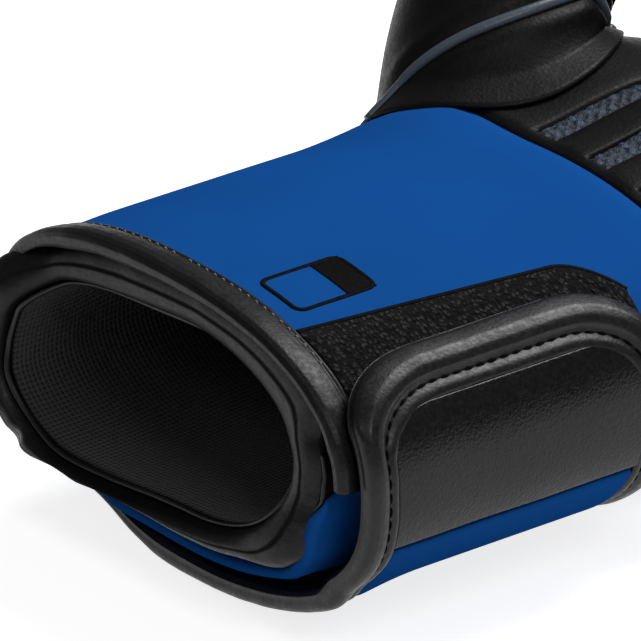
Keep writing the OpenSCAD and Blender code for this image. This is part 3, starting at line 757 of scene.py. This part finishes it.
pinch = 1.8 * np.exp(-(((ts - 222) / 3.2) ** 2)) + 0.6 * np.exp(-(((ts - 214) / 5) ** 2))
roll -= unit(roll - roll.mean(0)) * (pinch * bulge)[..., None]
half = len(roll) // 2
mouth_roll = slab("mouth_roll", roll[: half + 1], roll[half:][::-1], soft_black, wrap=True)
wear(mouth_roll, "glove", "black_leather", "mouth_facing", fill=0.6)

# lining, turned out over the roll as far as the welt, with the way into the thumb left open
ts = np.arange(0, 360, 2.0)
first = welt_s(ts) + 1.3
rows = [mix(first, PAD_FRONT, k) for k in np.linspace(0, 1, 9)]
marks = [PAD_FRONT, *THUMB_WAY_S, S_END]
deep = [np.linspace(a, b, n)[1:] for a, b, n in zip(marks, marks[1:], (46, 9, 56))]
rows += [np.full_like(ts, x) for x in np.concatenate(deep)]
s, t = np.array(rows), np.broadcast_to(ts, (len(rows), len(ts)))
over = LINING_T * (1 - ease(PAD_FRONT, 24, s))
inside = pocket_at(t, s, -over)
drape = np.clip(1.1 * lumps(inside, 24, 6), -1.2, 0.5) * ease(6, 26, s)
deep_in, turned = s[:-1] + 0.1, t[:-1]
way = (deep_in >= THUMB_WAY_S[0]) & (deep_in < THUMB_WAY_S[1])
way &= (turned >= THUMB_WAY_T[0]) & (turned < THUMB_WAY_T[1])
lining = slab(
    "lining", pocket_at(t, s, LINING_T - over), pocket_at(t, s, drape - over),
    lining_cloth, wrap=True, pole=True, keep=~way,
)
wear(lining, "glove", "lining_fabric", "hand_lining")

ts = np.linspace(0, 360, 300, endpoint=False)
path = pocket_at(ts, welt_s(ts) + 0.25 * sind(7 * ts), -0.65)
normals = unit((path.mean(0) - path) * [0, 1, 1])
lining_welt = sweep("lining_welt", path, normals, 0.85, 0.8, smooth_black, closed=True)
wear(lining_welt, "glove", "lining_fabric", "seam_welt")

# woven loop patch on the near corner of the flap, with a thin black sewn hem that also paints the shade
# line along the patch's edge
LOOP_FROM, LOOP_TO = 6.8, STRAP_END + 2


def loop_edge(s):
    return mix(59, 52, (s - 8) / 74) - 14 * np.clip((s - STRAP_END + 12) / 14, 0, 1) ** 2


k, s = np.meshgrid(np.linspace(0, 1, 110), np.linspace(LOOP_FROM, LOOP_TO, 240))
t = mix(4, loop_edge(s), k)
base = shell_at(t, s, -FIT - 0.75)
height = 0.75 + 0.3 * lumps(base, 0.9, 8) + 0.2 * lumps(base, 2.2, 9)
border = np.minimum(np.minimum(k, 1 - k) * 12, np.minimum(s - LOOP_FROM, LOOP_TO - s) / 2)
height *= np.clip(border, 0, 1) ** 0.5
loop_pile = slab("loop_pile", shell_at(t, s, -FIT - height), shell_at(t, s, 0.1), pile_cloth)
wear(loop_pile, "glove", "hook_and_loop", "loop_patch")
# black cord along the patch's edge: a sewn hem, and painted shade where the patch meets the blue
ss = np.linspace(LOOP_FROM, LOOP_TO, 260)
path, normals = surface_path(out_from_shell, loop_edge(ss), ss, 0.35)
loop_hem_and_shade = sweep("loop_hem_and_shade", path, normals, 0.65, 0.4, thread_black)
wear(loop_hem_and_shade, "glove", "hook_and_loop")

t, s = np.meshgrid(np.linspace(LAP_END + 1.2, 24, 12), np.linspace(PAD_FRONT, CUFF_LEN - 6, 40))
bed = mix(shell_at(t, s, LAP_T + 0.6), pocket_at(t, s, PAD_E), ease(16, 38, t)[..., None])
inward = unit(cavity(t, s) - outer(t, s))
gusset = slab("gusset", bed, bed + inward * 0.9, lining_cloth)
wear(gusset, "glove", "lining_fabric", "wrist_gusset")

TAIL_FROM, TAIL_TO = 226, SWING_T - 0.6
t, s = np.meshgrid(np.linspace(TAIL_FROM, TAIL_TO, 24), np.linspace(STRAP_FRONT + 2, STRAP_END - 2, 60))
soft = np.clip(np.minimum(t - TAIL_FROM, TAIL_TO - t) / 2, 0, 1) ** 0.5
strap_tail = slab("strap_tail", shell_at(t, s, -1.2 - soft), shell_at(t, s, -0.1), smooth_black)
wear(strap_tail, "glove", "black_leather", "strap_anchor")

# plain outlined patch on the flap
PATCH_S, PATCH_Y, PATCH_CORNER = (11.8, 34.0), (-30.4, -15.9), 2.4


def patch_ring(shrink):
    """Rounded outline of the patch, with every point as a distance along and across the glove."""
    middle = np.array([np.mean(PATCH_S), np.mean(PATCH_Y)])
    reach = np.array([np.ptp(PATCH_S), np.ptp(PATCH_Y)]) / 2 - PATCH_CORNER
    a = np.linspace(0, 2 * math.pi, 240, endpoint=False)
    ring = np.stack([np.cos(a), np.sin(a)], 1)
    return middle + np.sign(ring) * reach + ring * (PATCH_CORNER - shrink)


ring = even(np.concatenate([patch_ring(0), patch_ring(0)[:1]]), 0.5)[:-1]
path, normals = surface_path(out_from_shell, palm_angle(ring[:, 1], ring[:, 0]), ring[:, 0], 0.3)
patch_frame = sweep("patch_frame", path, normals, 0.6, 0.22, thread_black, closed=True)
wear(patch_frame, "glove", "black_leather")
s, y = np.meshgrid(np.linspace(26, PATCH_S[1], 20), np.linspace(*PATCH_Y, 24))
t = palm_angle(y, s)
patch_block = slab("patch_block", shell_at(t, s, -0.42), shell_at(t, s, 0.3), thread_black)
wear(patch_block, "glove", "black_leather")

# hand


def puff(edge):
    """Depth of a padded panel near its sewn edge, in millimetres from the edge."""
    return 1.3 * (1 - np.clip(edge / 5, 0, 1)) ** 2


def from_seam(ts, ks, s_rows):
    """Grid of a hand panel: shares of the way from the seam to the first row, then the rows."""
    t = np.broadcast_to(ts, (len(ks) + len(s_rows), len(ts)))
    head = [mix(seam(ts) + 1, s_rows[0], k) for k in ks]
    return t, np.array(head + [np.full_like(ts, x) for x in s_rows])


bend_rows = np.concatenate([np.linspace(BEND_START, S_END - 14, 60), S_END - np.linspace(13, 0, 16)])
ts = np.linspace(SIDE_FAR + 0.6, 360 + SIDE_NEAR - 0.6, 170)
t, s = from_seam(ts, np.linspace(0, 1, 60)[:-1], bend_rows)
aside = np.minimum(t - SIDE_FAR - 0.6, 360 + SIDE_NEAR - 0.6 - t) * MM_PER_DEG
edge = np.minimum(aside, s - seam(t) - 1)
top = shell_at(t, s, puff(edge))
rumple = 0.25 * lumps(top, 30, 2) * ease(4, 14, edge) * ease(0.5, 6, top[..., 2])
top += grid_normals(top) * rumple[..., None]
top[..., 2] = np.maximum(top[..., 2], 0.0)
hand_back = slab("hand_back", top, pocket_at(t, s, PAD_E + 0.2), blue_leather)
wear(hand_back, "glove", "blue_leather", "back_shell", "knuckle_foam", "core_foam", fill=0.9)

vent_mid = VENT_FROM + VENT_LEN / 2
vents = [
    [float(palm_angle(5.0 - v * VENT_PITCH + w, vent_mid)) for w in (-VENT_W / 2, VENT_W / 2)]
    for v in (2, 1, 0)
]
near_way = [104, 112, THUMB_WAY_T[0], 135, THUMB_WAY_T[1]]
marks = [SIDE_NEAR, 27, 43] + [a for v in vents for a in v] + near_way + [SIDE_FAR]
ts = [np.linspace(a, b, max(3, int((b - a) / 1.1)) + 1)[:-1] for a, b in zip(marks, marks[1:])]
ts = np.concatenate(ts + [[SIDE_FAR]])
rows = np.concatenate([
    np.linspace(VENT_FROM, THUMB_WAY_S[1], 18), np.linspace(THUMB_WAY_S[1], VENT_TO, 13)[1:],
    np.linspace(VENT_TO, BEND_START, 34)[1:], bend_rows[1:],
])
t, s = from_seam(ts, np.linspace(0, 1, 8)[:-1], rows)
edge = np.minimum(np.minimum(t - SIDE_NEAR, SIDE_FAR - t) * MM_PER_DEG, (s - seam(t) - 1) * 1.6)
vent_edge = np.full(t.shape, 9.0)
for low, high in vents:
    aside = np.maximum(low - t, t - high) * 1.2
    beyond = np.maximum(VENT_FROM - s, s - VENT_TO)
    vent_edge = np.minimum(vent_edge, np.maximum(np.maximum(aside, beyond), 0))
top = shell_at(t, s, puff(edge) + 0.6 * (1 - np.clip(vent_edge / 4, 0, 1)) ** 2)
top += grid_normals(top) * (0.3 * lumps(top, 22, 5) * ease(3, 12, edge))[..., None]
mid_t = ((ts[:-1] + ts[1:]) / 2)[None]
mid_s = (s[:-1, :-1] + s[1:, :-1]) / 2
left_out = (mid_t > THUMB_WAY_T[0]) & (mid_t < THUMB_WAY_T[1])
left_out = left_out & (mid_s > THUMB_WAY_S[0]) & (mid_s < THUMB_WAY_S[1])
for low, high in vents:
    left_out |= (mid_t > low) & (mid_t < high) & (np.abs(mid_s - vent_mid) < VENT_LEN / 2)
palm = slab("palm", top, pocket_at(t, s, PAD_E + 0.2), black_leather, keep=~left_out)
wear(palm, "glove", "black_leather", "palm_panel", "palm_pad", "grip_bar", fill=0.7)

nets = []
for i, (low, high) in enumerate(vents):
    ss = np.linspace(VENT_FROM - 1.5, VENT_TO + 1.5, 150)
    t, s = np.meshgrid(np.linspace(low - 1.2, high + 1.2, 40), ss)
    start = ease(VENT_FROM - 1.5, VENT_FROM + 1.5, s)
    crown = 0.9 * np.sin((t - low + 1.2) / (high - low + 2.4) * math.pi) * start
    flat = shell_at(t, s, 2.3 - 0.6 * start - crown)
    across = (t - low) / (high - low) * VENT_W
    cells = np.abs(np.sin(math.pi * (s + across) / 3.2) * np.sin(math.pi * (s - across) / 3.2))
    bumpy = flat + grid_normals(flat) * (0.5 * np.sqrt(cells) - 0.3)[..., None]
    nets.append(slab(f"palm_net_{i}", bumpy, shell_at(t, s, 2.6), mesh_cloth))
    wear(nets[i], "glove", "mesh_fabric")
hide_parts("palm_mesh")

# corded seams between the back and the palm
for i, angle in enumerate((SIDE_NEAR - 0.3, SIDE_FAR + 0.3)):
    ss = np.linspace(float(seam(np.array(angle))) + 4, S_END - 9, 220)
    path, normals = surface_path(out_from_shell, np.full_like(ss, angle), ss, -0.5)
    cord = sweep(f"side_cord_{i}", path, normals, 0.95, 0.9, smooth_black)
    wear(cord, "glove", "black_leather")

# thumb

THUMB_S, THUMB_T, THUMB_D, THUMB_PAD, NECK = CUFF_LEN + 20, 136, 44, 7, 0.34
root = outer(THUMB_T, THUMB_S)
thumb_up = unit(root - cavity(THUMB_T, THUMB_S))
thumb_way = np.array([root, root + [26, 8, 20], [175, 86, 101], [203, 76, 97]])


def bez(k):
    p = thumb_way
    start = (1 - k) ** 3 * p[0] + 3 * k * (1 - k) ** 2 * p[1]
    return start + 3 * k * k * (1 - k) * p[2] + k**3 * p[3]


def bez_dir(k):
    p = thumb_way
    start = (1 - k) ** 2 * (p[1] - p[0]) + 2 * k * (1 - k) * (p[2] - p[1])
    return unit(start + k * k * (p[3] - p[2]))


def thumb_oval(a, d, rise):
    """Outline on the palm, drawn in by d and lifted most on the cuff side."""
    forward = (1 + np.cos(a)) / 2
    low = np.maximum(0.6 + 1.2 * forward, rise * (1 - 0.7 * forward))
    long = np.where(np.cos(a) > 0, 35, 27)
    return shell_at(THUMB_T + (31 - d * 1.1) * np.sin(a), THUMB_S + (long - d) * np.cos(a), -low)


def thumb_ring(a, k, d=0.0):
    short = np.linalg.norm(thumb_way[3] - thumb_way[0]) * (1 - k)
    cap = max(0, 1 - short / (THUMB_D / 2))
    r = (THUMB_D / 2 - d + (1 - ease(0.3, 0.9, k))) * math.sqrt(max(0.004, 1 - cap * cap))
    axis = bez_dir(k)
    v = unit(np.cross(thumb_up, axis))
    u = np.cross(v, axis)
    return bez(k) + r * (np.cos(a)[:, None] * u + np.sin(a)[:, None] * v)


def thumb_row(a, q):
    """Row of the thumb skin: from the oval on the palm (0) over the neck (1) to the tip (2)."""
    if q <= 1:
        oval = thumb_oval(a, -4 * (1 - min(1, q / 0.1)), max(0.4, 22 * q**1.3))
        return mix(oval, thumb_ring(a, NECK), q)
    return thumb_ring(a, mix(NECK, 0.995, q - 1))


angles = np.linspace(0, 2 * math.pi, 130, endpoint=False)
foot_rows, neck_rows = np.linspace(0, 0.12, 8), np.linspace(0.12, 1, 26)[1:]
qs = np.concatenate([foot_rows, neck_rows, 1 + np.linspace(0, 1, 44)[1:] ** 0.8])
skin = np.array([thumb_row(angles, q) for q in qs])
normal = outward(skin)
skin += normal * (0.35 * lumps(skin, 20, 7) * ease(0.1, 0.4, qs)[:, None])[..., None]

# piping over the seam of the thumb, sunk between two swells of the leather
PIPING_FROM, PIPING_TOP, PIPING_TO, PIPING_RISE = 177, 280, 336, 0.48
seam_a = np.linspace(PIPING_FROM, PIPING_TO, 220)
climb = (seam_a - PIPING_FROM) / (PIPING_TOP - PIPING_FROM)
seam_q = PIPING_RISE * climb**0.71 * (1 - ease(284, 345, seam_a))
path = np.array([thumb_row(a, q) for a, q in zip(np.radians(seam_a)[:, None], seam_q)])[:, 0]
nearest = np.linalg.norm(skin[:, :, None] - path, axis=-1)
off = nearest.min(-1)
swell = 0.9 * np.exp(-(((off - 4.5) / 2.2) ** 2)) - 0.8 * np.exp(-((off / 1.8) ** 2))
skin += normal * (swell * ease(0.08, 0.2, qs)[:, None])[..., None]
flat = nearest.reshape(-1, len(path)).argmin(0)
normals = unit(normal.reshape(-1, 3)[flat])
thumb_piping = sweep("thumb_piping", path - normals * 0.2, normals, 1.35, 1.1, piping_grey)
wear(thumb_piping, "glove", "black_leather")
hollow = skin - normal * mix(1.0, THUMB_PAD + 2.0, ease(0.35, 0.9, qs))[:, None, None]
thumb = slab("thumb", skin, hollow, black_leather, wrap=True, pole=True)
wear(thumb, "glove", "black_leather", "thumb_shell", "thumb_foam", fill=0.8)
ks = np.linspace(0.36, 0.96, 30)
sleeve = [np.array([thumb_ring(angles, k, d) for k in ks]) for d in (9.4, 10.3)]
thumb_liner = slab("thumb_liner", sleeve[0], sleeve[1], lining_cloth, wrap=True, pole=True)
wear(thumb_liner, "glove", "lining_fabric", "thumb_lining")

# link from the thumb to the side of the fingers
TETHER_HALF = 6
hand = outer(180.0, S_END - 22)
c = bez(0.86)
away = unit(hand - c)
start = c + away * (THUMB_D / 2 - 0.8)
long = unit(np.cross(away, [0, 0, 1]))
thick = np.cross(long, away)
w, k = np.meshgrid(np.linspace(-TETHER_HALF, TETHER_HALF, 16), np.linspace(0, 1, 20))
waist = w * (1 - 0.25 * np.sin(k * math.pi))
center = start + (hand - away * 1.3 - start) * k[..., None] + long * waist[..., None]
edge = np.clip((TETHER_HALF - np.abs(w)) / 1.2, 0, 1) ** 0.5
link = [center + thick * (side * (0.25 + 0.65 * edge))[..., None] for side in (1, -1)]
tether = slab("tether", link[0], link[1], black_leather)
wear(tether, "glove", "black_leather", "thumb_tether")

# strap: blue band, padded black end, and one bound edge round both

# the end's tip, the degrees that each millimetre of its edge takes up there, and its corners
END_TIP, END_ROLL, CORNER_DEG, CORNER_LEN = STRAP_TIP + 4.5, 2.25, 23, STRAP_CORNER + 4
BAND_S0, BAND_S1 = STRAP_FRONT + STRAP_EDGE + FIT, STRAP_END - STRAP_EDGE - FIT
STRAP_MID, BEND_HALF = 42.0, 9.0
blend_ends = [
    world(strap_at(np.array(a), np.array(STRAP_MID), PANEL_OUT))
    for a in (PEEL_T - BEND_HALF, PEEL_T + BEND_HALF)
]


def bend_with_strap(piece, slot, *nodes, fill=None):
    """The piece's place is baked into its mesh, and the solids that it stands for are hidden."""
    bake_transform(piece)
    dress(nodes)


ss = np.linspace(BAND_S0 - 0.6, BAND_S1 + 0.6, 60)
t, s = np.meshgrid(np.linspace(SWING_T, BLUE_END - 0.3, 120), ss)
margin = np.minimum(s - BAND_S0 + 0.6, BAND_S1 + 0.6 - s)
crown = 0.05 - (1 - np.clip(margin / 3, 0, 1)) ** 2 - 0.9 * ease(BLUE_END - 2.2, BLUE_END - 0.3, t)
top, under = strap_at(t, s, PANEL_OUT + crown), strap_at(t, s, PANEL_IN)
strap_band = slab("strap_band", top, under, blue_leather)
bend_with_strap(strap_band, "blue_leather", "span_band", "tab_band", fill=0.5)

t, s = np.meshgrid(np.linspace(SWING_T + 11, PEEL_T - 5.6, 150), np.linspace(BAND_S0, BAND_S1, 170))
fluff = 0.35 + 0.3 * lumps(strap_at(t, s, 0.3), 0.9, 2)
strap_pile = slab("strap_pile", strap_at(t, s, PILE_T), strap_at(t, s, 0.45 - fluff), pile_cloth)
wear(strap_pile, "strap_span", "hook_and_loop", "span_pile")


def tab_outline(w):
    """Edge of the whole strap as angles and distances: front edge, rounded end, rear edge."""
    s0, s1 = STRAP_FRONT + w, STRAP_END - w
    cs, cd = CORNER_LEN - w * 0.8, CORNER_DEG - w / MM_PER_DEG * 0.8
    tip = END_TIP - w * END_ROLL
    turn = np.radians(np.linspace(0, 90, 40))
    front = np.stack([np.linspace(SWING_T, tip - cd, 220), np.full(220, s0)], 1)
    corner1 = np.stack([tip - cd + cd * np.sin(turn), s0 + cs - cs * np.cos(turn)], 1)[1:]
    across = np.stack([np.full(80, tip), np.linspace(s0 + cs, s1 - cs, 80)], 1)[1:-1]
    corner2 = np.stack([tip - cd + cd * np.cos(turn), s1 - cs + cs * np.sin(turn)], 1)[:-1]
    rear = np.stack([np.linspace(tip - cd, SWING_T, 220), np.full(220, s1)], 1)
    return np.concatenate([front, corner1, across, corner2, rear])


# the bound edge: a fat outer roll, a stitched groove and a flat inner ridge
profile = [
    (0.0, -3.2), (-0.2, -2.0), (0.0, -0.9), (0.6, 0.0), (1.6, 0.55), (2.9, 0.65), (4.2, 0.35),
    (5.1, -0.45), (5.5, -0.85), (5.9, -0.45), (6.6, -0.05), (7.4, -0.15), (8.0, -0.7), (8.2, -1.4),
]
profile = even(np.array(profile), 0.35)
outline = [tab_outline(w) for w in profile[:, 0]]
edge_h = [np.maximum(h, 0) * 1.3 * ease(376, 392, o[:, 0]) + h for o, h in zip(outline, profile[:, 1])]
edge_top = np.array([strap_at(o[:, 0], o[:, 1], PANEL_OUT + h) for o, h in zip(outline, edge_h)])
crumple = 0.18 * lumps(edge_top, 12, 1) + 0.1 * lumps(edge_top, 4.5, 3)
edge_top += grid_normals(edge_top) * crumple[..., None]
under_h = np.interp(profile[:, 0], [0, 1.2, 7, 8.2], [1.6, 0.5, 0.4, 1.6])
edge_low = np.array([strap_at(o[:, 0], o[:, 1], h) for o, h in zip(outline, under_h)])
strap_edge = slab("strap_edge", edge_top, edge_low, smooth_black)
bend_with_strap(
    strap_edge, "black_leather", "span_binding_front", "span_binding_rear", "tab_binding", fill=0.6
)
groove = tab_outline(5.5)
path, normals = surface_path(strap_at, groove[:, 0], groove[:, 1], PANEL_OUT - 0.75)
strap_thread = stitches("strap_thread", path, normals, 2.6, 0.8, 0.3, 0.35, thread_black)
bend_with_strap(strap_thread, "black_leather")


def tab_top(s, s0, s1, tip):
    """Angle at which the rounded end stops."""
    cs = STRAP_CORNER - STRAP_EDGE * 0.8
    q = np.clip(1 - np.minimum(s - s0, s1 - s) / cs, 0, 1)
    return tip - cs / MM_PER_DEG * (1 - np.sqrt(1 - q * q))


def tab_grid(low, tip, margin, nt, ns):
    s0, s1 = BAND_S0 + margin, BAND_S1 - margin
    share = mix((1 - np.cos(np.linspace(0, math.pi, ns))) / 2, np.linspace(0, 1, ns), 0.5)
    k, s = np.meshgrid(np.linspace(0, 1, nt), mix(s0, s1, share))
    return mix(low, tab_top(s, s0, s1, tip), k), s


t, s = tab_grid(BLUE_END + 0.2, END_TIP + 0.2 - STRAP_EDGE * END_ROLL, -0.5, 90, 110)
dip = 0.9 * (1 - ease(BLUE_END + 0.2, BLUE_END + 2.5, t))
panel_top = strap_at(t, s, PANEL_OUT - dip - 0.35)
panel_top += grid_normals(panel_top) * (0.2 * lumps(panel_top, 17, 4))[..., None]
end_panel = slab("end_panel", panel_top, strap_at(t, s, PANEL_IN), grained_black)
wear(end_panel, "strap_tab", "black_leather", "tab_panel", "tab_core", fill=0.4)

t, s = tab_grid(365, STRAP_TIP - STRAP_EDGE / MM_PER_DEG - 2, 2, 70, 110)
nap = 0.1 + 0.1 * lumps(strap_at(t, s, 0), 0.8, 1)
end_hooks = slab("end_hooks", strap_at(t, s, PILE_T), strap_at(t, s, nap), pile_cloth)
wear(end_hooks, "strap_tab", "hook_and_loop", "hook_tape")

# floor, light and camera

FLOOR_GLOW, FLOOR_TONE, WORLD_TONE = 0.8, 0.62, 0.14
bpy.ops.mesh.primitive_plane_add(size=12, location=(0, 0, -0.0005))
floor = bpy.context.object
floor.name = "floor"


def white_floor(tree, shader):
    """Pale floor that the camera and reflections see as white, with the shadow left on it."""
    path = tree.nodes.new("ShaderNodeLightPath")
    seen = path.outputs["Is Camera Ray"]
    for name in ("Is Glossy Ray", "Is Transmission Ray"):
        either = node(tree, "ShaderNodeMath", operation="MAXIMUM")
        tree.links.new(seen, either.inputs[0])
        tree.links.new(path.outputs[name], either.inputs[1])
        seen = either.outputs[0]
    tree.links.new(spread(tree, seen, 0.0, FLOOR_GLOW), shader.inputs["Emission Strength"])
    tone = ramp(tree, seen, (0.8,) * 3, (FLOOR_TONE,) * 3, (0.4, 0.6))
    tree.links.new(tone, shader.inputs["Base Color"])
    shader.inputs["Emission Color"].default_value = (1, 1, 1, 1)


floor.data.materials.append(material("floor_white", (0.8,) * 3, 0.9, white_floor, specular=0.0))

world_light = scene.world or bpy.data.worlds.new("studio")
scene.world = world_light
world_light.use_nodes = True
tree = world_light.node_tree
background = tree.nodes["Background"]
background.inputs["Strength"].default_value = 1.0
seen = tree.nodes.new("ShaderNodeLightPath").outputs["Is Camera Ray"]
tree.links.new(ramp(tree, seen, (WORLD_TONE,) * 3, (1,) * 3, (0.4, 0.6)), background.inputs["Color"])

target = Vector(world([53.5, 14.25, 44]))


def lamp(name, place, size, power):
    light = bpy.data.lights.new(name, "AREA")
    light.shape, light.size, light.energy = "DISK", size, power
    obj = bpy.data.objects.new(name, light)
    scene.collection.objects.link(obj)
    obj.location = place
    obj.rotation_euler = (target - Vector(place)).to_track_quat("-Z", "Y").to_euler()


lamp("top_light", (0.8, 0.05, 1.2), 0.9, 20)
lamp("side_light", (-0.35, -1.15, 1.15), 0.6, 5.5)
lamp("mouth_light", (-1.15, -0.4, 1.05), 0.5, 1.3)

# the photograph's long view: sensor in millimetres, and the width in metres that it takes in
SENSOR, SEEN_W = 36, 0.1457
azimuth, elevation, distance = math.radians(-38.4), math.radians(25), 3.0
toward = Vector((
    math.sin(azimuth) * math.cos(elevation),
    -math.cos(azimuth) * math.cos(elevation),
    math.sin(elevation),
))
lens = bpy.data.cameras.new("camera")
lens.sensor_width = SENSOR
lens.lens = SENSOR * distance / SEEN_W
lens.clip_end = 20
camera = bpy.data.objects.new("camera", lens)
scene.collection.objects.link(camera)
camera.location = target + toward * distance
camera.rotation_euler = (-toward).to_track_quat("-Z", "Y").to_euler()
scene.camera = camera
